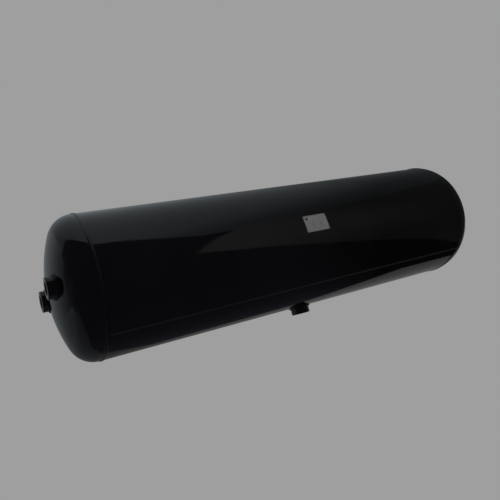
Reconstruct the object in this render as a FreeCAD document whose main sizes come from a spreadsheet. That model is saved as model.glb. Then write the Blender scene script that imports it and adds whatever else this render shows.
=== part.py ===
"""Horizontal compressed-air tank: a rolled shell, two dished heads, welded threaded bosses and a rating plate.

World axes: X runs along the tank, Z is up.  The origin is on the floor under mid-length, inside the rim of the
drain boss, whose end face stands on that floor.
Near is the -Y side, which carries the rating plate.  Left is the -X end.
Every body is drawn about the tank's own axis and then lifted to axis height by its Placement.
"""

import FreeCAD, Part
import math
import os

import Sketcher
from FreeCAD import Placement, Rotation, Vector

DIMENSIONS = {
    "shell_radius": 123.0,
    "wall": 2.5,
    "shell_length": 780.0,
    "crown_radius": 262.0,
    "knuckle_radius": 40.0,
    "flange_length": 0.7,
    "skirt_length": 14.0,
    "bead_toe": 1.8,
    "bead_height": 1.1,
    "seam_angle": 46.0,
    "seam_gap": 2.0,
    "seam_toe": 1.5,
    "seam_height": 1.2,
    "boss_radius": 18.0,
    "boss_length": 22.0,
    "boss_chamfer": 1.0,
    "thread_bore_radius": 10.19,
    "thread_chamfer": 1.2,
    "boss_weld_leg": 3.2,
    "drain_projection": 14.0,
    "drain_offset": 5.0,
    "port_projection": 11.0,
    "port_offset": 46.0,
    "port_turn": 5.0,
    "plate_length": 50.0,
    "plate_arc_angle": 14.6,
    "plate_thickness": 0.5,
    "plate_corner": 2.0,
    "plate_centre": 11.0,
    "plate_angle": 8.2,
}

doc = FreeCAD.newDocument("air_tank")
sheet = doc.addObject("Spreadsheet::Sheet", "Sizes")
for row, (alias, value) in enumerate(DIMENSIONS.items(), start=1):
    sheet.set(f"A{row}", alias)
    sheet.set(f"B{row}", str(value))
    sheet.setAlias(f"B{row}", alias)
doc.recompute()


def size(alias):
    """A driving dimension, read back from the sheet."""
    return float(sheet.get(alias))


def polar(radius, angle):
    """A point at a radius and an angle in degrees."""
    return (radius * math.cos(math.radians(angle)), radius * math.sin(math.radians(angle)))


# ---------------------------------------------------------------- sketches

def line(start, end):
    """A straight piece of an outline, with the sketcher's numbers for its entry and exit."""
    return Part.LineSegment(Vector(*start, 0), Vector(*end, 0)), 1, 2


def arc(centre, start, end):
    """The shorter arc from start to end.  Sketch arcs run anticlockwise, so entry and exit may swap."""
    first = math.atan2(start[1] - centre[1], start[0] - centre[0])
    last = math.atan2(end[1] - centre[1], end[0] - centre[0])
    turn = (last - first + math.pi) % (2 * math.pi) - math.pi
    circle = Part.Circle(Vector(*centre, 0), Vector(0, 0, 1), math.dist(centre, start))
    if turn > 0:
        return Part.ArcOfCircle(circle, first, first + turn), 1, 2
    return Part.ArcOfCircle(circle, last, last - turn), 2, 1


def add_outline(sketch, pieces):
    """Add a closed chain of curves and pin each exit to the next entry."""
    for curve, _, _ in pieces:
        sketch.addGeometry(curve, False)
    for index, (_, _, leaving) in enumerate(pieces):
        following = (index + 1) % len(pieces)
        entering = pieces[following][1]
        sketch.addConstraint(Sketcher.Constraint("Coincident", index, leaving, following, entering))


def dimension(sketch, name, expression, *constraint):
    """Add a named driving dimension bound to the sheet; its value is the last item of the constraint."""
    index = sketch.addConstraint(Sketcher.Constraint(*constraint))
    sketch.renameConstraint(index, name)
    sketch.setExpression(f"Constraints.{name}", expression)


def new_sketch(body, name, role):
    """A sketch on one of the body's own origin planes."""
    sketch = body.newObject("Sketcher::SketchObject", name)
    plane = next(item for item in body.Origin.OriginFeatures if item.Role == role)
    sketch.AttachmentSupport = [(plane, "")]
    sketch.MapMode = "FlatFace"
    return sketch


# ---------------------------------------------------------------- bodies

def new_body(name, turn_axis=Vector(0, 0, 1), turn=None):
    """A body whose local X is the tank axis, lifted to axis height and turned about one axis."""
    body = doc.addObject("PartDesign::Body", name)
    body.Label = name
    body.Placement = Placement(Vector(0, 0, 0), Rotation(turn_axis, 0))
    body.setExpression(".Placement.Base.z", "Sizes.shell_radius + Sizes.drain_projection")
    if turn is not None:
        body.setExpression(".Placement.Rotation.Angle", turn)
    return body


def pad_both_ways(body, sketch, length):
    """Pad a cross-section equally to both sides of its plane."""
    pad = body.newObject("PartDesign::Pad", f"{body.Name}_pad")
    pad.Profile = sketch
    pad.SideType = "Symmetric"
    pad.setExpression("Length", length)
    return pad


def revolve(body, sketch, axis):
    """Revolve a half-section once round a sketch axis."""
    turned = body.newObject("PartDesign::Revolution", f"{body.Name}_revolution")
    turned.Profile = sketch
    turned.ReferenceAxis = (sketch, [axis])
    turned.Angle = 360.0
    return turned


def build_shell():
    """The rolled plate, open along the long seam, with the drain hole in the bottom."""
    body = new_body("shell")
    ring = new_sketch(body, "shell_ring", "YZ_Plane")
    centre = Vector(0, 0, 0)
    circles = (("outer", "Sizes.shell_radius"), ("inner", "Sizes.shell_radius - Sizes.wall"))
    for index, (name, text) in enumerate(circles):
        radius = size("shell_radius") - index * size("wall")
        ring.addGeometry(Part.Circle(centre, Vector(0, 0, 1), radius), False)
        ring.addConstraint(Sketcher.Constraint("Coincident", index, 3, -1, 1))
        dimension(ring, name, text, "Radius", index, radius)
    pad_both_ways(body, ring, "Sizes.shell_length")

    gap = new_sketch(body, "shell_gap", "XY_Plane")
    gap.AttachmentOffset = Placement(Vector(0, 0, 0), Rotation(Vector(1, 0, 0), 0))
    gap.setExpression(".AttachmentOffset.Rotation.Angle", "90 + Sizes.seam_angle")
    half_length = size("shell_length") / 2 + 1
    half_gap = size("seam_gap") / 2
    corners = [(-half_length, -half_gap), (half_length, -half_gap),
               (half_length, half_gap), (-half_length, half_gap)]
    add_outline(gap, [line(corners[i], corners[(i + 1) % 4]) for i in range(4)])
    for index, direction in enumerate(("Horizontal", "Vertical", "Horizontal", "Vertical")):
        gap.addConstraint(Sketcher.Constraint(direction, index))
    gap.addConstraint(Sketcher.Constraint("Symmetric", 0, 1, 1, 2, -1, 1))
    dimension(gap, "length", "Sizes.shell_length + 2", "DistanceX", 0, 1, 0, 2, 2 * half_length)
    dimension(gap, "width", "Sizes.seam_gap", "DistanceY", 1, 1, 1, 2, 2 * half_gap)
    cut_one_way(body, gap, "shell_gap_cut", "Sizes.shell_radius + 10", True)

    hole = new_sketch(body, "shell_drain_hole", "XY_Plane")
    offset = size("drain_offset")
    hole.addGeometry(Part.Circle(Vector(offset, 0, 0), Vector(0, 0, 1), size("boss_radius")), False)
    hole.addConstraint(Sketcher.Constraint("PointOnObject", 0, 3, -1))
    dimension(hole, "offset", "Sizes.drain_offset", "DistanceX", -1, 1, 0, 3, offset)
    dimension(hole, "radius", "Sizes.boss_radius", "Radius", 0, size("boss_radius"))
    cut_one_way(body, hole, "shell_drain_cut", "Sizes.shell_radius + 10", False)


def cut_one_way(body, sketch, name, depth, along_normal):
    """Pocket a sketch to one side of its plane only."""
    pocket = body.newObject("PartDesign::Pocket", name)
    pocket.Profile = sketch
    pocket.Reversed = along_normal
    pocket.setExpression("Length", depth)
    return pocket


def head_stations():
    """The numbers a head and its girth weld share, as distances along the tank and from its axis."""
    shell_end = size("shell_length") / 2
    radius = size("shell_radius")
    knuckle_x = shell_end + size("wall") + size("flange_length")
    knuckle_r = radius - size("knuckle_radius")
    reach = math.sqrt((size("crown_radius") - size("knuckle_radius")) ** 2 - knuckle_r ** 2)
    crown_x = knuckle_x - reach
    return shell_end, radius, (knuckle_x, knuckle_r), (crown_x, 0.0)


def tangent_point(knuckle, crown, radius):
    """Where the arc of that radius about the crown centre runs into the knuckle."""
    angle = math.degrees(math.atan2(knuckle[1], knuckle[0] - crown[0]))
    across, up = polar(radius, angle)
    return (crown[0] + across, up)


def build_head(name, side):
    """A dished head with a joggled skirt that slides inside the shell, drilled for its two bosses."""
    body = new_body(name, Vector(0, 0, 1), "0" if side > 0 else "180")
    section = new_sketch(body, f"{name}_section", "XZ_Plane")
    shell_end, radius, knuckle, crown = head_stations()
    wall = size("wall")
    outer_crown = size("crown_radius")
    outer_meet = tangent_point(knuckle, crown, outer_crown)
    inner_meet = tangent_point(knuckle, crown, outer_crown - wall)
    shoulder = shell_end + wall
    skirt_end = shell_end - size("skirt_length")
    add_outline(section, [
        arc(crown, (crown[0] + outer_crown, 0.0), outer_meet),
        arc(knuckle, outer_meet, (knuckle[0], radius)),
        line((knuckle[0], radius), (shoulder, radius)),
        line((shoulder, radius), (shell_end, radius - wall)),
        line((shell_end, radius - wall), (skirt_end, radius - wall)),
        line((skirt_end, radius - wall), (skirt_end, radius - 2 * wall)),
        line((skirt_end, radius - 2 * wall), (shell_end + 1, radius - 2 * wall)),
        line((shell_end + 1, radius - 2 * wall), (knuckle[0], radius - wall)),
        arc(knuckle, (knuckle[0], radius - wall), inner_meet),
        arc(crown, inner_meet, (crown[0] + outer_crown - wall, 0.0)),
        line((crown[0] + outer_crown - wall, 0.0), (crown[0] + outer_crown, 0.0)),
    ])
    revolve(body, section, "H_Axis")

    holes = new_sketch(body, f"{name}_holes", "YZ_Plane")
    for index, offset in enumerate((side, -side)):
        across, up = polar(size("port_offset"), size("port_turn"))
        spot = Vector(-offset * across, up if index == 0 else -up, 0)
        holes.addGeometry(Part.Circle(spot, Vector(0, 0, 1), size("boss_radius")), False)
        dimension(holes, f"radius_{index}", "Sizes.boss_radius", "Radius", index, size("boss_radius"))
    cut_one_way(body, holes, f"{name}_drilling", "Sizes.shell_length", True)


def build_girth_weld(name, side):
    """The bead that fills the groove between the shell's end and the head's shoulder, crowned proud of both."""
    body = new_body(name, Vector(0, 0, 1), "0" if side > 0 else "180")
    section = new_sketch(body, f"{name}_section", "XZ_Plane")
    shell_end, radius, knuckle, _ = head_stations()
    wall = size("wall")
    shoulder = shell_end + wall
    inner_toe = (shell_end - size("bead_toe"), radius)
    outer_toe_x = shoulder + size("bead_toe")
    rise = math.sqrt(size("knuckle_radius") ** 2 - (outer_toe_x - knuckle[0]) ** 2)
    outer_toe = (outer_toe_x, knuckle[1] + rise)
    crest = ((inner_toe[0] + outer_toe[0]) / 2, radius + size("bead_height"))
    add_outline(section, [
        cap_arc(inner_toe, crest, outer_toe),
        arc(knuckle, outer_toe, (knuckle[0], radius)),
        line((knuckle[0], radius), (shoulder, radius)),
        line((shoulder, radius), (shell_end, radius - wall)),
        line((shell_end, radius - wall), (shell_end, radius)),
        line((shell_end, radius), inner_toe),
    ])
    revolve(body, section, "H_Axis")


def cap_arc(start, middle, end):
    """The arc through three points, as a piece of an outline."""
    curve = Part.Arc(Vector(*start, 0), Vector(*middle, 0), Vector(*end, 0)).toShape().Curve
    return arc((curve.Center.x, curve.Center.y), start, end)


def build_seam_weld():
    """The straight bead that closes the rolled plate: a root through the gap and a low cap over both lips."""
    body = new_body("long_seam_weld", Vector(1, 0, 0), "90 + Sizes.seam_angle")
    section = new_sketch(body, "long_seam_section", "YZ_Plane")
    outer = size("shell_radius")
    inner = outer - size("wall")
    gap = size("seam_gap") / 2
    toe = gap + size("seam_toe")
    centre = (0.0, 0.0)

    def at(across, radius):
        """A point that far across the seam, on the cylinder of that radius."""
        return (across, math.sqrt(radius ** 2 - across ** 2))

    add_outline(section, [
        arc(centre, at(-gap, inner), at(gap, inner)),
        line(at(gap, inner), at(gap, outer)),
        arc(centre, at(gap, outer), at(toe, outer)),
        cap_arc(at(toe, outer), (0.0, outer + size("seam_height")), at(-toe, outer)),
        arc(centre, at(-toe, outer), at(-gap, outer)),
        line(at(-gap, outer), at(-gap, inner)),
    ])
    pad_both_ways(body, section, "Sizes.shell_length - 2 * Sizes.bead_toe")


def build_plate():
    """The rating plate: thin sheet bent to the shell, with rounded corners."""
    body = new_body("rating_plate", Vector(1, 0, 0), "90 - Sizes.plate_angle")
    body.setExpression(".Placement.Base.x", "Sizes.plate_centre")
    section = new_sketch(body, "rating_plate_section", "YZ_Plane")
    inner = size("shell_radius")
    outer = inner + size("plate_thickness")
    half = size("plate_arc_angle") / 2
    left = 90 + half
    right = 90 - half
    centre = (0.0, 0.0)
    add_outline(section, [
        arc(centre, polar(inner, left), polar(inner, right)),
        line(polar(inner, right), polar(outer, right)),
        arc(centre, polar(outer, right), polar(outer, left)),
        line(polar(outer, left), polar(inner, left)),
    ])
    pad = pad_both_ways(body, section, "Sizes.plate_length")
    doc.recompute()
    short = [f"Edge{i}" for i, edge in enumerate(pad.Shape.Edges, start=1)
             if abs(edge.Length - size("plate_thickness")) < 0.01]
    corners = body.newObject("PartDesign::Fillet", "rating_plate_corners")
    corners.Base = (pad, short)
    corners.setExpression("Radius", "Sizes.plate_corner")


# ---------------------------------------------------------------- bosses and their welds

def port_place(side, near):
    """Centre of a head boss's end face and the direction from there into the tank."""
    _, _, _, crown = head_stations()
    across, up = polar(size("port_offset"), size("port_turn"))
    drop = math.sqrt(size("crown_radius") ** 2 - size("port_offset") ** 2)
    reach = crown[0] + drop + size("port_projection")
    height = size("shell_radius") + size("drain_projection")
    sign = -1 if near else 1
    return Vector(side * reach, sign * across, height - sign * up), Vector(-side, 0, 0)


def build_boss(name, face, inward):
    """A turned steel bush, bored for a straight thread, with its open end at the face given."""
    body = doc.addObject("PartDesign::Body", name)
    body.Label = name
    body.Placement = Placement(face, Rotation(Vector(0, 0, 1), inward))
    section = new_sketch(body, f"{name}_section", "XZ_Plane")
    bore = size("thread_bore_radius")
    rim = size("boss_radius")
    length = size("boss_length")
    bevel = size("boss_chamfer")
    mouth = size("thread_chamfer")
    points = [(bore + mouth, 0.0), (rim - bevel, 0.0), (rim, bevel),
              (rim, length), (bore, length), (bore, mouth)]
    add_outline(section, [line(points[i], points[(i + 1) % 6]) for i in range(6)])
    for index, direction in ((0, "Horizontal"), (2, "Vertical"), (3, "Horizontal"), (4, "Vertical")):
        section.addConstraint(Sketcher.Constraint(direction, index))
    section.addConstraint(Sketcher.Constraint("PointOnObject", 0, 1, -1))
    dimension(section, "bore", "Sizes.thread_bore_radius", "DistanceX", -1, 1, 4, 1, bore)
    dimension(section, "rim", "Sizes.boss_radius", "DistanceX", -1, 1, 2, 1, rim)
    dimension(section, "length", "Sizes.boss_length", "DistanceY", -1, 1, 2, 2, length)
    dimension(section, "bevel_across", "Sizes.boss_chamfer", "DistanceX", 1, 1, 1, 2, bevel)
    dimension(section, "bevel_down", "Sizes.boss_chamfer", "DistanceY", 1, 1, 1, 2, bevel)
    dimension(section, "mouth_across", "Sizes.thread_chamfer", "DistanceX", 5, 1, 5, 2, mouth)
    dimension(section, "mouth_down", "Sizes.thread_chamfer", "DistanceY", 5, 2, 5, 1, mouth)
    revolve(body, section, "V_Axis")


def build_boss_weld(name, foot, outward, boss_axis, wall_solid):
    """A fillet weld: a cone standing on the wall round the boss, less the wall and less the boss."""
    depth = 4.0
    cone = doc.addObject("Part::Cone", f"{name}_cone")
    cone.setExpression("Radius1", f"Sizes.boss_radius + Sizes.boss_weld_leg + {depth}")
    cone.Radius2 = 10.0
    cone.setExpression("Height", f"Sizes.boss_radius + Sizes.boss_weld_leg + {depth} - 10")
    cone.Placement = Placement(foot - outward * depth, Rotation(Vector(0, 0, 1), outward))
    bush = doc.addObject("Part::Cylinder", f"{name}_bush")
    bush.setExpression("Radius", "Sizes.boss_radius")
    bush.Height = 80.0
    bush.Placement = Placement(foot - boss_axis * 40, Rotation(Vector(0, 0, 1), boss_axis))
    above = doc.addObject("Part::Cut", f"{name}_above_wall")
    above.Base = cone
    above.Tool = wall_solid
    ring = doc.addObject("Part::Cut", name)
    ring.Label = name
    ring.Base = above
    ring.Tool = bush


def shell_stand_in():
    """A solid cylinder the size of the shell, for trimming the drain weld."""
    solid = doc.addObject("Part::Cylinder", "shell_stand_in")
    solid.setExpression("Radius", "Sizes.shell_radius")
    solid.Height = 200.0
    height = size("shell_radius") + size("drain_projection")
    solid.Placement = Placement(Vector(-100, 0, height), Rotation(Vector(0, 1, 0), 90))
    return solid


def crown_stand_in(name, side):
    """A ball the size of a head's crown, for trimming the port welds."""
    _, _, _, crown = head_stations()
    solid = doc.addObject("Part::Sphere", name)
    solid.setExpression("Radius", "Sizes.crown_radius")
    height = size("shell_radius") + size("drain_projection")
    solid.Placement = Placement(Vector(side * crown[0], 0, height), Rotation())
    return solid


def build_drain():
    """The drain boss at the bottom of the shell and its weld."""
    offset = size("drain_offset")
    build_boss("drain_boss", Vector(offset, 0, 0), Vector(0, 0, 1))
    foot = Vector(offset, 0, size("drain_projection"))
    down = Vector(0, 0, -1)
    build_boss_weld("drain_boss_weld", foot, down, down, shell_stand_in())


def build_ports(side, side_name):
    """The two bosses on one head and their welds."""
    _, _, _, crown = head_stations()
    ball = crown_stand_in(f"{side_name}_crown_stand_in", side)
    for near, near_name in ((True, "near"), (False, "far")):
        name = f"{side_name}_{near_name}_boss"
        face, inward = port_place(side, near)
        build_boss(name, face, inward)
        foot = face + inward * size("port_projection")
        outward = (foot - ball.Placement.Base).normalize()
        build_boss_weld(f"{name}_weld", foot, outward, inward * -1, ball)


def export_parts(names):
    """Check every object and write one STEP file for each finished piece."""
    doc.recompute()
    for item in doc.Objects:
        if "Invalid" in item.State or "Error" in item.State:
            raise RuntimeError(f"{item.Name} did not recompute: {item.State}")
    os.makedirs("parts", exist_ok=True)
    for name in names:
        shape = doc.getObject(name).Shape
        if shape.isNull() or not shape.isValid() or len(shape.Solids) != 1:
            raise RuntimeError(f"{name} is not one valid solid")
        shape.exportStep(f"parts/{name}.step")
        box = shape.BoundBox
        print(f"{name:22s} {shape.Volume / 1000:9.2f} cm3   x {box.XMin:8.2f} {box.XMax:8.2f}"
              f"   y {box.YMin:8.2f} {box.YMax:8.2f}   z {box.ZMin:7.2f} {box.ZMax:7.2f}")


SIDES = ((-1, "left"), (1, "right"))
PIECES = ["shell", "long_seam_weld", "rating_plate", "drain_boss", "drain_boss_weld"]

build_shell()
build_seam_weld()
build_plate()
build_drain()
for side, side_name in SIDES:
    build_head(f"{side_name}_head", side)
    build_girth_weld(f"{side_name}_head_weld", side)
    build_ports(side, side_name)
    PIECES += [f"{side_name}_head", f"{side_name}_head_weld"]
    for near_name in ("near", "far"):
        PIECES += [f"{side_name}_{near_name}_boss", f"{side_name}_{near_name}_boss_weld"]

export_parts(PIECES)
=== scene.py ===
# %% [markdown]
# # A black steel air tank
#
# The tank is a rolled steel shell with a dished head welded into each end. Five short bosses are
# threaded for pipe fittings: two on each head and one underneath for draining water. Everything is
# painted gloss black after welding, and a small pale plate is bonded to the front.
#
# The CAD model is loaded first. It fixes every size and place, so each cell below only asks it
# where things are. Lengths are in metres, +X runs along the tank and +Z is up.

# %% Load the CAD model
import math
import bmesh
import bpy
from mathutils import Matrix, Vector


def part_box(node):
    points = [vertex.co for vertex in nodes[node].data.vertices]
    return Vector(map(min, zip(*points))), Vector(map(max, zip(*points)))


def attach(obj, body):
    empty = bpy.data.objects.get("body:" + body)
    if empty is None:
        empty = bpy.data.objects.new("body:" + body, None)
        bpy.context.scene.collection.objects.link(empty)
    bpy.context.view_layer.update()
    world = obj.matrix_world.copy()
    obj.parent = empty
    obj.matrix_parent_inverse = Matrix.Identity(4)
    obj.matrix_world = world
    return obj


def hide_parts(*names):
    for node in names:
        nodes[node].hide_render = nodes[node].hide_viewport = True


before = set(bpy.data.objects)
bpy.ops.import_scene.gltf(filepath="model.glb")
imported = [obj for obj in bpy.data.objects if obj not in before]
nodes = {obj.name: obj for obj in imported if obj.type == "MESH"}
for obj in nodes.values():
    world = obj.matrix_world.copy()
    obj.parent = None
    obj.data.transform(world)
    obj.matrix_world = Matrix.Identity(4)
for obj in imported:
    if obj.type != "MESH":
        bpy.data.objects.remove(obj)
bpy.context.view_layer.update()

# %% Measure the tank
# The shell's box gives the axis and the radius that every later cell needs.
shell_low, shell_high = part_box("shell")
shell_radius = (shell_high[2] - shell_low[2]) / 2
axis_height = (shell_high[2] + shell_low[2]) / 2
shell_half = (shell_high[0] - shell_low[0]) / 2
print("radius", round(shell_radius, 4), "axis height", round(axis_height, 4),
      "half length", round(shell_half, 3))

# %% [markdown]
# ## Finishes
#
# A finish is a small network of nodes. Each one starts from Object coordinates, which are metres
# in the tank's own frame, so a pattern's scale can be thought of in real millimetres. A network can
# be drawn by hand in the shader editor. Here it is written out, with a helper for each kind of
# node, so that each finish below reads as a short list of what it is made of.

# %% Node helpers
def empty_finish(name):
    """A new finish with nothing in it, and its tree of nodes."""
    finish = bpy.data.materials.new(name)
    finish.use_nodes = True
    finish.node_tree.nodes.clear()
    return finish, finish.node_tree


def add_node(tree, kind, **settings):
    node = tree.nodes.new(kind)
    for name, value in settings.items():
        setattr(node, name, value)
    return node


def join(tree, source, target):
    tree.links.new(source, target)


def surface(tree, **sockets):
    """The shader and its output, with plain values set on the shader's own sockets."""
    shader = add_node(tree, "ShaderNodeBsdfPrincipled")
    output = add_node(tree, "ShaderNodeOutputMaterial")
    join(tree, shader.outputs["BSDF"], output.inputs["Surface"])
    for name, value in sockets.items():
        shader.inputs[name.replace("_", " ")].default_value = value
    return shader


def object_place(tree):
    """Where a point of the surface is, in metres in the tank's frame."""
    return add_node(tree, "ShaderNodeTexCoord").outputs["Object"]


def noise(tree, place, scale, detail=2.0, roughness=0.5):
    node = add_node(tree, "ShaderNodeTexNoise")
    node.inputs["Scale"].default_value = scale
    node.inputs["Detail"].default_value = detail
    node.inputs["Roughness"].default_value = roughness
    join(tree, place, node.inputs["Vector"])
    return node.outputs["Fac"]


def remap(tree, value, low, high, to_low, to_high):
    """Stretch a value so that low becomes to_low and high becomes to_high, and clamp it there."""
    node = add_node(tree, "ShaderNodeMapRange")
    join(tree, value, node.inputs["Value"])
    limits = {"From Min": low, "From Max": high, "To Min": to_low, "To Max": to_high}
    for name, number in limits.items():
        node.inputs[name].default_value = number
    return node.outputs["Result"]


def blend_colour(tree, amount, first, second):
    """The first colour where the amount is 0, the second where it is 1."""
    node = add_node(tree, "ShaderNodeMix", data_type="RGBA")
    join(tree, amount, node.inputs["Factor"])
    for socket, colour in zip(("A", "B"), (first, second)):
        target = [s for s in node.inputs if s.name == socket and s.type == "RGBA"][0]
        if isinstance(colour, tuple):
            target.default_value = (*colour, 1.0)
        else:
            join(tree, colour, target)
    return [s for s in node.outputs if s.type == "RGBA"][0]


def arithmetic(tree, operation, first, second=None):
    node = add_node(tree, "ShaderNodeMath", operation=operation)
    for index, value in enumerate((first, second)):
        if value is None:
            continue
        if isinstance(value, (int, float)):
            node.inputs[index].default_value = value
        else:
            join(tree, value, node.inputs[index])
    return node.outputs["Value"]


def bump(tree, height, distance, normal=None):
    """Tilt the surface as if the pattern stood that far out of it, in metres."""
    node = add_node(tree, "ShaderNodeBump")
    node.inputs["Distance"].default_value = distance
    node.inputs["Strength"].default_value = 1.0
    join(tree, height, node.inputs["Height"])
    if normal is not None:
        join(tree, normal, node.inputs["Normal"])
    return node.outputs["Normal"]


print("node helpers ready")

# %% [markdown]
# ### Gloss black enamel
#
# Sprayed enamel is never a perfect mirror. The sheet under it is slightly wavy over a hand's
# width, the paint dries with a fine orange peel a few millimetres across, and a little dust lands
# in it. Three noises of very different scale give those three things: two go into bump, and the
# third into colour and roughness. A fourth, softer one makes the coat thicker here and thinner
# there. Paint lies flat on a turned bush and rough on a weld, so each has its own mix. The weld
# beads also get lighter blacks and paler specks, a painted sheen for the light their ripples catch.

# %% Enamel
# The scales are repeats to a metre, and the ranges are the parts of a noise that are used. A pair
# of blacks is the paint's colour where it is thick and where it is thin. The girth and seam pairs
# are lighter than the sheet's, and that extra lightness is a painted sheen on the weld beads.
wave_scale, peel_scale, speck_scale, film_scale = 9.0, 300.0, 900.0, 14.0
speck_range, film_range = (0.66, 0.74), (0.35, 0.75)
dust_and_sheen_grey = (0.10, 0.10, 0.095)
film_dulling = 0.045
deep_black = ((0.0020, 0.0021, 0.0025), (0.0034, 0.0035, 0.0039))
girth_sheen_blacks = ((0.003, 0.003, 0.0034), (0.006, 0.006, 0.0064))
seam_sheen_blacks = ((0.008, 0.008, 0.0085), (0.014, 0.014, 0.0145))


def enamel(name, sheet_wave, peel, dust_and_sheen, film_and_sheen_blacks=deep_black, gloss=0.055):
    """Gloss paint: sheet_wave and peel are heights in metres, and dust_and_sheen is how dull a
    speck is;
    on the weld beads part of that is painted sheen.
    """
    finish, tree = empty_finish(name)
    shader = surface(tree, IOR=1.5)
    place = object_place(tree)
    wave = bump(tree, noise(tree, place, wave_scale, 1.0), sheet_wave)
    fine = bump(tree, noise(tree, place, peel_scale, 1.0), peel, normal=wave)
    # Specks are grime on the paint; the paler specks of the weld beads are partly painted sheen.
    specks = remap(tree, noise(tree, place, speck_scale, 3.0, 0.7), *speck_range, 0.0, dust_and_sheen)
    film = remap(tree, noise(tree, place, film_scale, 4.0, 0.6), *film_range, 0.0, 1.0)
    # On the girth and seam beads these blacks are lighter than the paint: painted sheen.
    depth = blend_colour(tree, film, *film_and_sheen_blacks)
    dulled = remap(tree, film, 0.0, 1.0, gloss, gloss + film_dulling)
    join(tree, blend_colour(tree, specks, depth, dust_and_sheen_grey), shader.inputs["Base Color"])
    join(tree, arithmetic(tree, "ADD", dulled, specks), shader.inputs["Roughness"])
    join(tree, fine, shader.inputs["Normal"])
    return finish


sheet_enamel = enamel("sheet_enamel", sheet_wave=0.00025, peel=0.000003, dust_and_sheen=0.35)
bush_enamel = enamel("bush_enamel", sheet_wave=0.00003, peel=0.000004, dust_and_sheen=0.25)
# The beads' lighter blacks and paler specks are painted sheen for the light their ripples catch.
girth_enamel = enamel("girth_enamel", sheet_wave=0.00010, peel=0.000008, dust_and_sheen=0.45,
                      film_and_sheen_blacks=girth_sheen_blacks, gloss=0.10)
seam_enamel = enamel("seam_enamel", sheet_wave=0.00010, peel=0.000008, dust_and_sheen=0.45,
                     film_and_sheen_blacks=seam_sheen_blacks, gloss=0.13)
for finish in (sheet_enamel, bush_enamel, girth_enamel, seam_enamel):
    print(finish.name, len(finish.node_tree.nodes), "nodes")

# %% [markdown]
# ### Bare thread
#
# The bore is plugged while the tank is sprayed, so the thread stays bare steel, dulled by a thin
# film of oil and stained brown in patches. Fine noise across it stands for the cutter's marks.

# %% Thread steel
clean_steel, stained_steel = (0.23, 0.225, 0.22), (0.13, 0.11, 0.095)
mark_scale, mark_depth, stain_scale = 2500.0, 0.00001, 160.0
thread_steel, steel_tree = empty_finish("thread_steel")
steel_shader = surface(steel_tree, Metallic=1.0)
steel_place = object_place(steel_tree)
cutter_marks = noise(steel_tree, steel_place, mark_scale, 2.0)
stain = remap(steel_tree, noise(steel_tree, steel_place, stain_scale, 4.0, 0.6), 0.4, 0.7, 0.0, 1.0)
steel_colour = blend_colour(steel_tree, stain, clean_steel, stained_steel)
join(steel_tree, steel_colour, steel_shader.inputs["Base Color"])
steel_roughness = remap(steel_tree, stain, 0.0, 1.0, 0.38, 0.6)
join(steel_tree, steel_roughness, steel_shader.inputs["Roughness"])
join(steel_tree, bump(steel_tree, cutter_marks, mark_depth), steel_shader.inputs["Normal"])
print(thread_steel.name, len(steel_tree.nodes), "nodes")

# %% Give the carried pieces their finish
# The plate is painted here too, and the next step gives it a face of its own.
for name, node in nodes.items():
    for material_slot in node.material_slots:
        material_slot.material = sheet_enamel
print("materials assigned")

# %% [markdown]
# ### Rating plate
#
# The plate is thin bare aluminium with a printed form on it: a frame, a few ruled fields left blank
# and a small solid square. The print could be cut into the mesh, but ink has no thickness, so the
# finish draws it. Length runs along X and height is the angle round the tank times its radius, so
# the lines stay straight on the bent sheet.

# %% Plate finish
plate_low, plate_high = (Vector(corner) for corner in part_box("rating_plate"))
plate_turn = math.radians(8.2)
plate_finish, plate_tree = empty_finish("plate_face")
plate_shader = surface(plate_tree, Metallic=0.35)
plate_parts = add_node(plate_tree, "ShaderNodeSeparateXYZ")
join(plate_tree, object_place(plate_tree), plate_parts.inputs["Vector"])
plate_middle = (plate_low.x + plate_high.x) / 2
along_plate = arithmetic(plate_tree, "SUBTRACT", plate_parts.outputs["X"], plate_middle)
height_above = arithmetic(plate_tree, "SUBTRACT", plate_parts.outputs["Z"], axis_height)
towards_near = arithmetic(plate_tree, "MULTIPLY", plate_parts.outputs["Y"], -1.0)
turned_up = arithmetic(plate_tree, "ARCTAN2", height_above, towards_near)
up_plate = arithmetic(plate_tree, "MULTIPLY_ADD", turned_up, shell_radius)
up_plate.node.inputs[2].default_value = -shell_radius * plate_turn


def block(centre, width, height):
    """1 inside a printed rectangle of that centre and size on the plate, 0 outside."""
    across = arithmetic(plate_tree, "COMPARE", along_plate, centre[0])
    across.node.inputs[2].default_value = width / 2
    up = arithmetic(plate_tree, "COMPARE", up_plate, centre[1])
    up.node.inputs[2].default_value = height / 2
    return arithmetic(plate_tree, "MULTIPLY", across, up)


# The frame is a big block less a smaller one. The rest is the square, seven rules and two dividers.
rule = 0.0006
ink = arithmetic(plate_tree, "SUBTRACT", block((0.0, 0.0), 0.0476, 0.0290),
                 block((0.0, 0.0), 0.0462, 0.0276))
printed = [((-0.0185, 0.0095), 0.0050, 0.0050)]
printed += [((0.0060, up), 0.0300, rule) for up in (0.0105, 0.0072)]
printed += [((0.0, up), 0.0420, rule) for up in (0.0036, 0.0002, -0.0032, -0.0066, -0.0100)]
printed += [((-0.0070, -0.0032), rule, 0.0136), ((0.0090, -0.0049), rule, 0.0102)]
for middle, width, height in printed:
    ink = arithmetic(plate_tree, "MAXIMUM", ink, block(middle, width, height))

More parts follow.
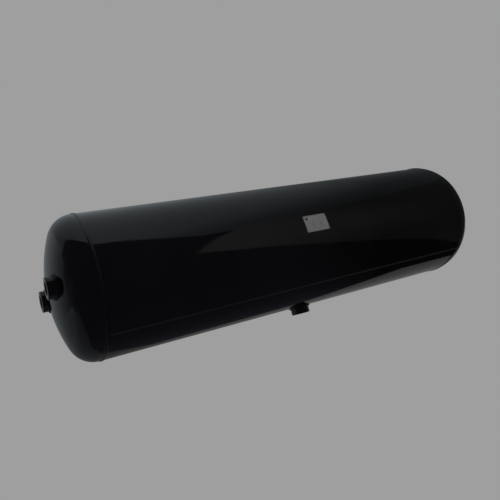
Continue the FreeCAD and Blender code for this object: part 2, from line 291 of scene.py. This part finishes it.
# Brushing is noise drawn out along the plate.
dark_metal, light_metal = (0.38, 0.385, 0.38), (0.50, 0.505, 0.50)
ink_black = (0.035, 0.035, 0.038)
brushing_stretch, brushing_depth = (30.0, 3000.0, 3000.0), 0.000004
brushed_place = add_node(plate_tree, "ShaderNodeMapping")
brushed_place.inputs["Scale"].default_value = brushing_stretch
join(plate_tree, object_place(plate_tree), brushed_place.inputs["Vector"])
brushing = noise(plate_tree, brushed_place.outputs["Vector"], 1.0, 3.0)
bare = blend_colour(plate_tree, brushing, dark_metal, light_metal)
join(plate_tree, blend_colour(plate_tree, ink, bare, ink_black), plate_shader.inputs["Base Color"])
plate_roughness = remap(plate_tree, brushing, 0.0, 1.0, 0.30, 0.48)
join(plate_tree, plate_roughness, plate_shader.inputs["Roughness"])
join(plate_tree, bump(plate_tree, brushing, brushing_depth), plate_shader.inputs["Normal"])
nodes["rating_plate"].material_slots[0].material = plate_finish
print("plate finish", len(plate_tree.nodes), "nodes")

# %% [markdown]
# ## Threaded bosses
#
# Each boss is a short bush turned on a lathe: a thick steel ring with a rounded edge round its rim,
# a wider flat bevel at the mouth to lead a fitting in, and an M22 x 1.5 thread cut down the bore.
# It could be spun from one profile, but the thread is a helix and has to be cut. So the bush is
# made from a cylinder by inset, bridge and bevel, a tap is made by screwing a small tooth shape up
# the bore, and a Boolean takes the tap away, just as a real tap cuts the steel.

# %% Boss sizes
boss_low, boss_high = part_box("drain_boss")
boss_radius = (boss_high[0] - boss_low[0]) / 2
boss_length = boss_high[2] - boss_low[2]
bore_radius = 0.01019
thread_radius = 0.0110
thread_pitch = 0.0015
mouth_bevel = 0.0012
rim_round = 0.001
boss_sides = 96
print("boss radius", round(boss_radius, 4), "length", round(boss_length, 4))

# %% Editing helpers
# Every new piece starts from an empty selection, and faces or edges are then chosen by their place.
def start_piece(add, **settings):
    """Add a primitive with nothing else selected, and stay in edit mode with nothing chosen."""
    if bpy.context.object is not None and bpy.context.object.mode == "EDIT":
        bpy.ops.object.mode_set(mode="OBJECT")
    bpy.ops.object.select_all(action="DESELECT")
    add(**settings)
    bpy.ops.object.mode_set(mode="EDIT")
    bpy.ops.mesh.select_all(action="DESELECT")
    return bpy.context.object


def choose(piece, kind, wanted):
    """Select the vertices, edges or faces that the test picks; it is given their middle point."""
    bpy.ops.mesh.select_mode(type=kind)
    bpy.ops.mesh.select_all(action="DESELECT")
    shape = bmesh.from_edit_mesh(piece.data)
    items = {"VERT": shape.verts, "EDGE": shape.edges, "FACE": shape.faces}[kind]
    count = 0
    for item in items:
        corners = [item] if kind == "VERT" else item.verts
        middle = sum((corner.co for corner in corners), Vector()) / len(corners)
        if wanted(middle, item):
            item.select_set(True)
            count += 1
    if kind == "VERT":
        shape.select_flush(True)
    bmesh.update_edit_mesh(piece.data)
    return count


def finish_piece(name, angle=35.0):
    """Leave edit mode with the object at the origin, its place in its mesh, and smooth shading."""
    bpy.ops.mesh.select_mode(type="FACE")
    bpy.ops.mesh.select_all(action="SELECT")
    bpy.ops.mesh.remove_doubles(threshold=0.000002)
    bpy.ops.mesh.normals_make_consistent(inside=False)
    bpy.ops.object.mode_set(mode="OBJECT")
    bpy.ops.object.transform_apply(location=True, rotation=True, scale=True)
    bpy.ops.object.shade_smooth_by_angle(angle=math.radians(angle))
    piece = bpy.context.object
    piece.name = name
    piece.data.name = name
    return piece


print("editing helpers ready")

# %% Turn the bush
# It stands on the origin with its mouth down, exactly as the drain boss does.
bush = start_piece(bpy.ops.mesh.primitive_cylinder_add, vertices=boss_sides, radius=boss_radius,
                   depth=boss_length, location=(0.0, 0.0, boss_length / 2))
ends = choose(bush, "FACE", lambda middle, face: abs(face.normal.z) > 0.9)
bpy.ops.mesh.inset(thickness=boss_radius - bore_radius)
bpy.ops.mesh.bridge_edge_loops()
at_mouth = -boss_length * 0.49
mouth = choose(bush, "EDGE", lambda middle, edge: middle.z < at_mouth
               and middle.to_2d().length < bore_radius * 1.01)
bpy.ops.mesh.bevel(offset=mouth_bevel, offset_type="OFFSET", segments=1, affect="EDGES")
rim = choose(bush, "EDGE", lambda middle, edge: middle.z < at_mouth
             and middle.to_2d().length > boss_radius * 0.99)
bpy.ops.mesh.bevel(offset=rim_round, offset_type="OFFSET", segments=3, affect="EDGES")
bush = finish_piece("boss")
print(ends, "ends bridged,", mouth, "mouth edges and", rim, "rim edges bevelled")

# %% Make the tap
# One tooth of the thread is a plane squeezed to a trapezoid, and a Screw modifier winds it up the
# bore. Its foot stands 0.3 mm inside the bore, so that the cut is clean, and it winds about two
# turns past each end.
blank = 0.001
foot_stretch, crest_share = 1.46, 0.13
spare_turns = 2
inner_tooth, outer_tooth = bore_radius - 0.0003, thread_radius
tooth_middle = (outer_tooth + inner_tooth) / 2
tooth = start_piece(bpy.ops.mesh.primitive_plane_add, size=blank,
                    rotation=(math.radians(90), 0.0, 0.0))
bpy.ops.mesh.select_all(action="SELECT")
bpy.ops.transform.resize(value=((outer_tooth - inner_tooth) / blank, 1.0, foot_stretch))
bpy.ops.transform.translate(value=(tooth_middle, 0.0, -spare_turns * thread_pitch))
choose(tooth, "VERT", lambda middle, corner: middle.x > bore_radius)
bpy.ops.transform.resize(value=(1.0, 1.0, crest_share))
bpy.ops.mesh.select_mode(type="FACE")
bpy.ops.mesh.select_all(action="SELECT")
bpy.ops.mesh.delete(type="ONLY_FACE")
bpy.ops.object.mode_set(mode="OBJECT")
bpy.ops.object.transform_apply(location=True, rotation=True, scale=True)
winding = tooth.modifiers.new("winding", "SCREW")
winding.axis = "Z"
winding.screw_offset = thread_pitch
winding.iterations = round(boss_length / thread_pitch) + 2 * spare_turns
winding.steps = winding.render_steps = boss_sides
bpy.ops.object.modifier_apply(modifier="winding")
bpy.ops.object.mode_set(mode="EDIT")
open_ends = choose(tooth, "EDGE", lambda middle, edge: edge.is_boundary)
bpy.ops.mesh.fill()
tap = finish_piece("tap")
print("tap closed at", open_ends, "edges,", len(tap.data.polygons), "faces")

# %% Cut the thread
# Paint reaches a little way into the mouth, and past that the thread is bare.
paint_reach = 0.0008
bpy.ops.object.select_all(action="DESELECT")
bush.select_set(True)
bpy.context.view_layer.objects.active = bush
cut = bush.modifiers.new("thread", "BOOLEAN")
cut.operation = "DIFFERENCE"
cut.object = tap
cut.solver = "EXACT"
bpy.ops.object.modifier_apply(modifier="thread")
bpy.data.objects.remove(tap)
bpy.ops.object.shade_smooth_by_angle(angle=math.radians(35))
bush.data.materials.clear()
bush.data.materials.append(bush_enamel)
bush.data.materials.append(thread_steel)
for face in bush.data.polygons:
    bare_steel = face.center.to_2d().length < thread_radius and face.center.z > paint_reach
    face.material_index = 1 if bare_steel else 0
print("threaded boss has", len(bush.data.polygons), "faces")

# %% Set the bosses in place
# A mouth points down on the shell and outwards on the heads. Each copy gets its own mesh.
def face_along(outward, mouth):
    """The move that takes the bush from the origin, mouth down, to a mouth centre and direction."""
    turn = Vector((0.0, 0.0, -1.0)).rotation_difference(outward).to_matrix().to_4x4()
    return Matrix.Translation(mouth) @ turn


drain_mouth = Vector(((boss_low[0] + boss_high[0]) / 2, 0.0, boss_low[2]))
boss_places = {"drain_boss": (Vector((0.0, 0.0, -1.0)), drain_mouth)}
for side, sign in (("left", -1.0), ("right", 1.0)):
    for row in ("near", "far"):
        low, high = (Vector(corner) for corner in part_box(f"{side}_{row}_boss"))
        mouth = (low + high) / 2 + Vector((sign * boss_length / 2, 0.0, 0.0))
        boss_places[f"{side}_{row}_boss"] = (Vector((sign, 0.0, 0.0)), mouth)


def place_copy(master, name, place):
    """A copy with its own mesh, moved inside that mesh so that the object stays at the origin."""
    piece = master.copy()
    piece.data = master.data.copy()
    piece.name = piece.data.name = name
    piece.data.transform(place)
    bpy.context.scene.collection.objects.link(piece)
    return piece


bosses = {}
for name, place in boss_places.items():
    bosses[name] = place_copy(bush, f"threaded_{name}", face_along(*place))
bpy.data.objects.remove(bush)
for name, piece in bosses.items():
    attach(piece, "root")
    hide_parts(name)
print("bosses placed:", ", ".join(bosses))

# %% [markdown]
# ## Weld beads
#
# A weld is laid as a row of overlapping puddles, so a bead is a low round strip with a ripple every
# couple of millimetres. It could be a smooth strip with the ripples drawn in bump, but they would
# vanish at the outline and would not be in the mesh. Here each bead starts as a ring or a rod with
# three rows of points to a ripple: one is left as the crest, one is pulled in deep as the valley,
# and one nearly halfway, which gives the lopsided scallops of a real bead.

# %% Ripple helper
shallow_share = 0.45


def ripple(piece, row_of, depth):
    """Pull two rows of every three in along their normals."""
    for row, pull in ((1, depth), (2, depth * shallow_share)):
        choose(piece, "VERT", lambda middle, corner: row_of(middle) % 3 == row)
        bpy.ops.transform.shrink_fatten(value=-pull)


def row_round(rows):
    """The test of which row of a ring a point is in, for a ring of that many rows."""
    return lambda spot: round(math.atan2(spot.y, spot.x) / (2 * math.pi) * rows)


def seat_bead(piece, name, node, finish):
    """Tie a bead to the tank, stand it in for its CAD weld and paint it."""
    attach(piece, "root")
    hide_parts(node)
    piece.data.materials.clear()
    piece.data.materials.append(finish)
    beads[name] = piece


beads = {}
print("ripple helper ready")

# %% Girth beads
# The ring is made flat at the origin, drawn out wide, stood up on the tank's axis and copied to
# each end. A torus may have at most 256 segments round it, so each of its 192 is divided into six.
weld_low, weld_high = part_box("right_head_weld")
bead_crest = (weld_high[2] - weld_low[2]) / 2
girth_rows = 3 * 384
girth_thickness = 0.0015
girth_spread = 2.1
girth_ripple = 0.00016
groove_middle = 0.00125
rows_to_segment = 6
ring = start_piece(bpy.ops.mesh.primitive_torus_add, major_radius=bead_crest - girth_thickness,
                   minor_radius=girth_thickness, major_segments=girth_rows // rows_to_segment,
                   minor_segments=14)


def runs_round(middle, edge):
    """True for an edge along the ring, whose two ends are equally high and equally far out."""
    one, other = (corner.co for corner in edge.verts)
    climb, spread = one.z - other.z, one.to_2d().length - other.to_2d().length
    return abs(climb) < 0.000001 and abs(spread) < 0.000001


choose(ring, "EDGE", runs_round)
bpy.ops.mesh.subdivide(number_cuts=rows_to_segment - 1)
bpy.ops.mesh.select_all(action="SELECT")
bpy.ops.transform.resize(value=(1.0, 1.0, girth_spread))
ripple(ring, row_round(girth_rows), girth_ripple)
ring = finish_piece("girth_bead", 60.0)
stand_up = Matrix.Rotation(math.radians(90), 4, "Y")
for side, sign in (("left", -1.0), ("right", 1.0)):
    groove_x = sign * (shell_half + groove_middle)
    to_groove = Matrix.Translation((groove_x, 0.0, axis_height)) @ stand_up
    piece = place_copy(ring, f"{side}_girth_bead", to_groove)
    seat_bead(piece, piece.name, f"{side}_head_weld", girth_enamel)
    print(piece.name, "at x", round(groove_x, 4), "with", len(piece.data.polygons), "faces")
bpy.data.objects.remove(ring)

# %% Long seam bead
# A thin rod is cut into a hundred and one lengths and each of those into twelve rows, because one
# subdivide makes at most a hundred cuts. Then it is laid in the seam, with most of it sunk in the
# wall.
seam_low, seam_high = (Vector(corner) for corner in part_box("long_seam_weld"))
seam_length = seam_high.x - seam_low.x
seam_down = math.radians(46.0)
seam_thickness = 0.0018
seam_spread = 1.45
seam_ripple = 0.00018
seam_depth = 0.00062
lengths, rows_to_length = 101, 12
rod = start_piece(bpy.ops.mesh.primitive_cylinder_add, vertices=16, radius=seam_thickness,
                  depth=seam_length)
for pieces in (lengths, rows_to_length):
    choose(rod, "EDGE", lambda middle, edge: abs((edge.verts[0].co - edge.verts[1].co).z) > 0.0001)
    bpy.ops.mesh.subdivide(number_cuts=pieces - 1)
row_length = seam_length / (lengths * rows_to_length)
ripple(rod, lambda spot: round((spot.z + seam_length / 2) / row_length), seam_ripple)
bpy.ops.mesh.select_all(action="SELECT")
bpy.ops.transform.resize(value=(seam_spread, 1.0, 1.0))
seam_bead = finish_piece("long_seam_bead", 60.0)
quarter_turn = math.radians(90)
swing_down = Matrix.Translation((0.0, 0.0, axis_height)) @ Matrix.Rotation(seam_down, 4, "X")
into_wall = Matrix.Translation((0.0, -shell_radius + seam_depth, 0.0))
seam_bead.data.transform(swing_down @ into_wall @ Matrix.Rotation(quarter_turn, 4, "Y")
                         @ Matrix.Rotation(quarter_turn, 4, "Z"))
seat_bead(seam_bead, "long_seam_bead", "long_seam_weld", seam_enamel)
print("long seam bead", round(seam_length, 3), "long with", len(seam_bead.data.polygons), "faces")

# %% Boss beads
# The same ripple on a small ring laid in the corner round a boss, then settled onto the wall.
boss_rows = 3 * 68
corner_out = 0.0009
corner_thickness = 0.0023
corner_ripple = 0.0002
corner_bead = start_piece(bpy.ops.mesh.primitive_torus_add, major_radius=boss_radius + corner_out,
                          minor_radius=corner_thickness, major_segments=boss_rows,
                          minor_segments=16)
ripple(corner_bead, row_round(boss_rows), corner_ripple)
corner_bead = finish_piece("corner_bead", 60.0)
crown_radius = 0.262
crown_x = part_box("right_head")[1][0] - crown_radius


def settle(piece, outward, wall_depth):
    """Slide each point back along the boss onto the wall, by what wall_depth says for it."""
    for corner in piece.data.vertices:
        corner.co -= outward * wall_depth(corner.co)


for name, (outward, mouth) in boss_places.items():
    piece = place_copy(corner_bead, f"{name}_bead", face_along(outward, mouth))
    if name == "drain_boss":
        settle(piece, outward, lambda spot: axis_height - math.sqrt(shell_radius ** 2 - spot.y ** 2)
               - boss_low[2] - corner_out)
    else:
        settle(piece, outward, lambda spot: abs(mouth.x) - crown_x - corner_out
               - math.sqrt(crown_radius ** 2 - spot.y ** 2 - (spot.z - axis_height) ** 2))
    seat_bead(piece, piece.name, f"{name}_weld", bush_enamel)
bpy.data.objects.remove(corner_bead)
print("beads:", ", ".join(beads))

# %% [markdown]
# ## Studio
#
# Black gloss shows almost nothing of its own: what the eye reads on it is the room mirrored in the
# paint. So the studio is built as that mirrored room. The camera and diffuse rays see one plain
# pale grey, and the paint sees a few large pale cards with dark gaps between them. A card is hidden
# from the camera and from diffuse rays, so it draws reflections and does nothing else. Lamps could
# do this too, but a lamp's reflection is a plain rectangle or an ellipse. A card can have any
# outline, and it can fade along a direction, as a wall does away from its window.

# %% Floor
backdrop_grey = 0.3467
floor_side = 60.0


def glowing(name, colour):
    """A stage finish that gives off one even colour, and the node that holds its strength."""
    finish, tree = empty_finish(name)
    glow = add_node(tree, "ShaderNodeEmission")
    glow.inputs["Color"].default_value = (*colour, 1.0)
    output = add_node(tree, "ShaderNodeOutputMaterial")
    join(tree, glow.outputs["Emission"], output.inputs["Surface"])
    return finish, glow


bpy.ops.object.select_all(action="DESELECT")
bpy.ops.mesh.primitive_plane_add(size=floor_side, location=(0.0, 0.0, 0.0))
floor = bpy.context.object
floor.name = "floor"
floor.data.materials.append(glowing("floor_paper", (backdrop_grey,) * 3)[0])
floor.visible_glossy = False
print("floor", [round(side, 1) for side in floor.dimensions])

# %% Card helper
# Heights of cards are measured from the tank's axis, and those of fades from the floor.
def card(name, corners, colour, *fades, domed=False):
    """A glowing card; each fade is a direction, two distances along it and the strengths there."""
    mesh = bpy.data.meshes.new(name)
    raised = [Vector(corner) + Vector((0.0, 0.0, axis_height)) for corner in corners]
    outline = list(range(len(raised)))
    if domed:
        fan = [(i, (i + 1) % len(raised), len(raised)) for i in outline]
        mesh.from_pydata([*raised, sum(raised, Vector()) / len(raised)], [], fan)
    else:
        mesh.from_pydata(raised, [], [outline])
    piece = bpy.data.objects.new(name, mesh)
    bpy.context.scene.collection.objects.link(piece)
    finish, glow = glowing(name, colour)
    tree = finish.node_tree
    strength = None
    for direction, *span in fades:
        along = add_node(tree, "ShaderNodeVectorMath", operation="DOT_PRODUCT")
        join(tree, object_place(tree), along.inputs[0])
        along.inputs[1].default_value = direction
        faded = remap(tree, along.outputs["Value"], *span)
        strength = faded if strength is None else arithmetic(tree, "MULTIPLY", strength, faded)
    if strength is not None:
        join(tree, strength, glow.inputs["Strength"])
    mesh.materials.append(finish)
    piece.visible_camera = False
    piece.visible_diffuse = False
    piece.visible_shadow = False
    piece.visible_transmission = False


def level(height, *outline):
    """The corners of a flat card at one height."""
    return [(x, y, height) for x, y in outline]


print("card helper ready")

# %% Cards
# A ceiling, a back wall and two pieces of floor are flat. The side card is a fan of triangles, bent
# like a drawn curtain.
rightwards, backwards, upwards = (1.0, 0.0, 0.0), (0.0, 1.0, 0.0), (0.0, 0.0, 1.0)
ceiling_height, floor_height, wall_y = 1.0, -0.138, 1.6
card("ceiling_card",
     level(ceiling_height, (-2.25, wall_y), (-1.95, 0.90), (-1.70, 0.56), (-1.50, 0.44),
           (-1.27, 0.20), (-1.10, -0.08), (-0.87, -0.35), (-0.62, -0.54), (-0.35, -0.64),
           (-0.10, -0.78), (0.0, -0.83), (0.47, -1.32), (2.2, -1.32), (2.2, wall_y)),
     (0.325, 0.36, 0.378), (rightwards, -0.1, 1.1, 1.0, 0.26),
     ((1.0, -0.35, 0.0), -1.75, -0.5, 0.42, 1.0), ((0.8, -0.6, 0.0), 0.6, 1.0, 1.0, 0.72))
card("back_card",
     [(-2.45, wall_y, -0.14), (3.2, wall_y, -0.14), (3.2, wall_y, 1.0), (-2.25, wall_y, 1.0),
      (-2.30, wall_y, 0.5)],
     (0.195, 0.213, 0.224), (rightwards, -2.35, -1.15, 0.36, 1.0), (upwards, 0.0, 0.35, 0.65, 1.0))
card("left_floor_card",
     level(floor_height, (-2.45, wall_y), (-1.34, 0.68), (-0.84, 0.04), (-0.62, -0.045),
           (-0.53, -0.062), (-0.48, -0.068), (-0.46, -0.063), (-0.44, -0.05), (-0.43, -0.043),
           (-0.405, -0.038), (-0.405, wall_y)),
     (0.120, 0.128, 0.136), (backwards, 0.2, 1.1, 0.72, 1.0))
card("floor_card",
     level(floor_height, (-0.405, -0.035), (-0.30, 0.0), (0.0, -0.012), (0.13, -0.035),
           (0.27, -0.056), (0.45, -0.056), (2.4, -0.056), (2.4, wall_y), (-0.405, wall_y)),
     (0.20, 0.20, 0.196), (rightwards, -0.42, 0.1, 0.50, 1.0))
card("side_card",
     [(0.36, -1.47, 0.279), (0.387, -1.47, 0.234), (0.65, -1.41, 0.003), (0.95, -1.26, -0.354),
      (1.257, -0.975, -0.67), (1.524, -0.397, -0.989), (1.9, 0.3, -0.6), (1.7, 0.1, 0.9),
      (1.1, -0.85, 1.0), (0.62, -1.1, 1.0), (0.46, -1.288, 0.703), (0.402, -1.40, 0.49)],
     (0.185, 0.185, 0.185), (rightwards, 0.5, 1.12, 1.0, 0.24), domed=True)
print("cards ready")

# %% Soft lights
# Two big weak lamps light the plate and the paint's own colour. Nothing mirrors them.
def soft_light(name, place, aim, size, watts):
    lamp = bpy.data.lights.new(name, "AREA")
    lamp.size = size
    lamp.energy = watts
    holder = bpy.data.objects.new(name, lamp)
    bpy.context.scene.collection.objects.link(holder)
    holder.location = place
    holder.rotation_euler = (Vector(aim) - Vector(place)).to_track_quat("-Z", "Y").to_euler()
    holder.visible_glossy = False
    holder.visible_camera = False


soft_light("front_fill", place=(-0.8, -2.2, 1.2), aim=(0.0, 0.0, axis_height), size=1.8, watts=2.0)
soft_light("top_fill", place=(0.0, 0.4, 2.2), aim=(0.0, 0.0, 0.0), size=2.0, watts=6.0)
print("lights ready")

# %% World
# The camera and diffuse rays see the plain backdrop. The gloss sees a room that is nearly dark, a
# little blue, and darker still at its right end.
left_room, right_room = (0.038, 0.037, 0.049), (0.005, 0.005, 0.005)
darkening = (0.55, 0.68)
world = bpy.data.worlds.new("studio_room")
bpy.context.scene.world = world
world.use_nodes = True
room_tree = world.node_tree
room_tree.nodes.clear()
heading = add_node(room_tree, "ShaderNodeSeparateXYZ")
ray_direction = add_node(room_tree, "ShaderNodeTexCoord").outputs["Generated"]
join(room_tree, ray_direction, heading.inputs["Vector"])
room_end = remap(room_tree, heading.outputs["X"], *darkening, 0.0, 1.0)
mirrored_room = blend_colour(room_tree, room_end, left_room, right_room)
in_gloss = add_node(room_tree, "ShaderNodeLightPath").outputs["Is Glossy Ray"]
room = add_node(room_tree, "ShaderNodeBackground")
seen_room = blend_colour(room_tree, in_gloss, (backdrop_grey,) * 3, mirrored_room)
join(room_tree, seen_room, room.inputs["Color"])
room_output = add_node(room_tree, "ShaderNodeOutputWorld")
join(room_tree, room.outputs["Background"], room_output.inputs["Surface"])
print("world ready")

# %% Camera
# It stands low in front of the tank, past its left end, and is rolled to one side.
view_azimuth = math.radians(-29.356)
view_elevation = math.radians(-6.766)
view_roll = math.radians(-14.953)
view_distance = 1.01426
look_at = Vector((-0.07011, 0.0, axis_height + 0.00812))
backward = Vector((math.sin(view_azimuth) * math.cos(view_elevation),
                   -math.cos(view_azimuth) * math.cos(view_elevation), math.sin(view_elevation)))
level_right = (-backward).cross(Vector((0.0, 0.0, 1.0))).normalized()
level_up = level_right.cross(-backward)
right = level_right * math.cos(view_roll) + level_up * math.sin(view_roll)
upward = level_up * math.cos(view_roll) - level_right * math.sin(view_roll)
camera = bpy.data.objects.new("camera", bpy.data.cameras.new("camera"))
bpy.context.scene.collection.objects.link(camera)
turn = Matrix((right, upward, backward)).transposed().to_4x4()
camera.matrix_world = Matrix.Translation(look_at + backward * view_distance) @ turn
camera.data.sensor_width = 36.0
camera.data.lens = 37.37
camera.data.clip_start = 0.01
bpy.context.scene.camera = camera
bpy.context.scene.view_settings.view_transform = "Standard"
print("camera at", [round(value, 3) for value in camera.location])
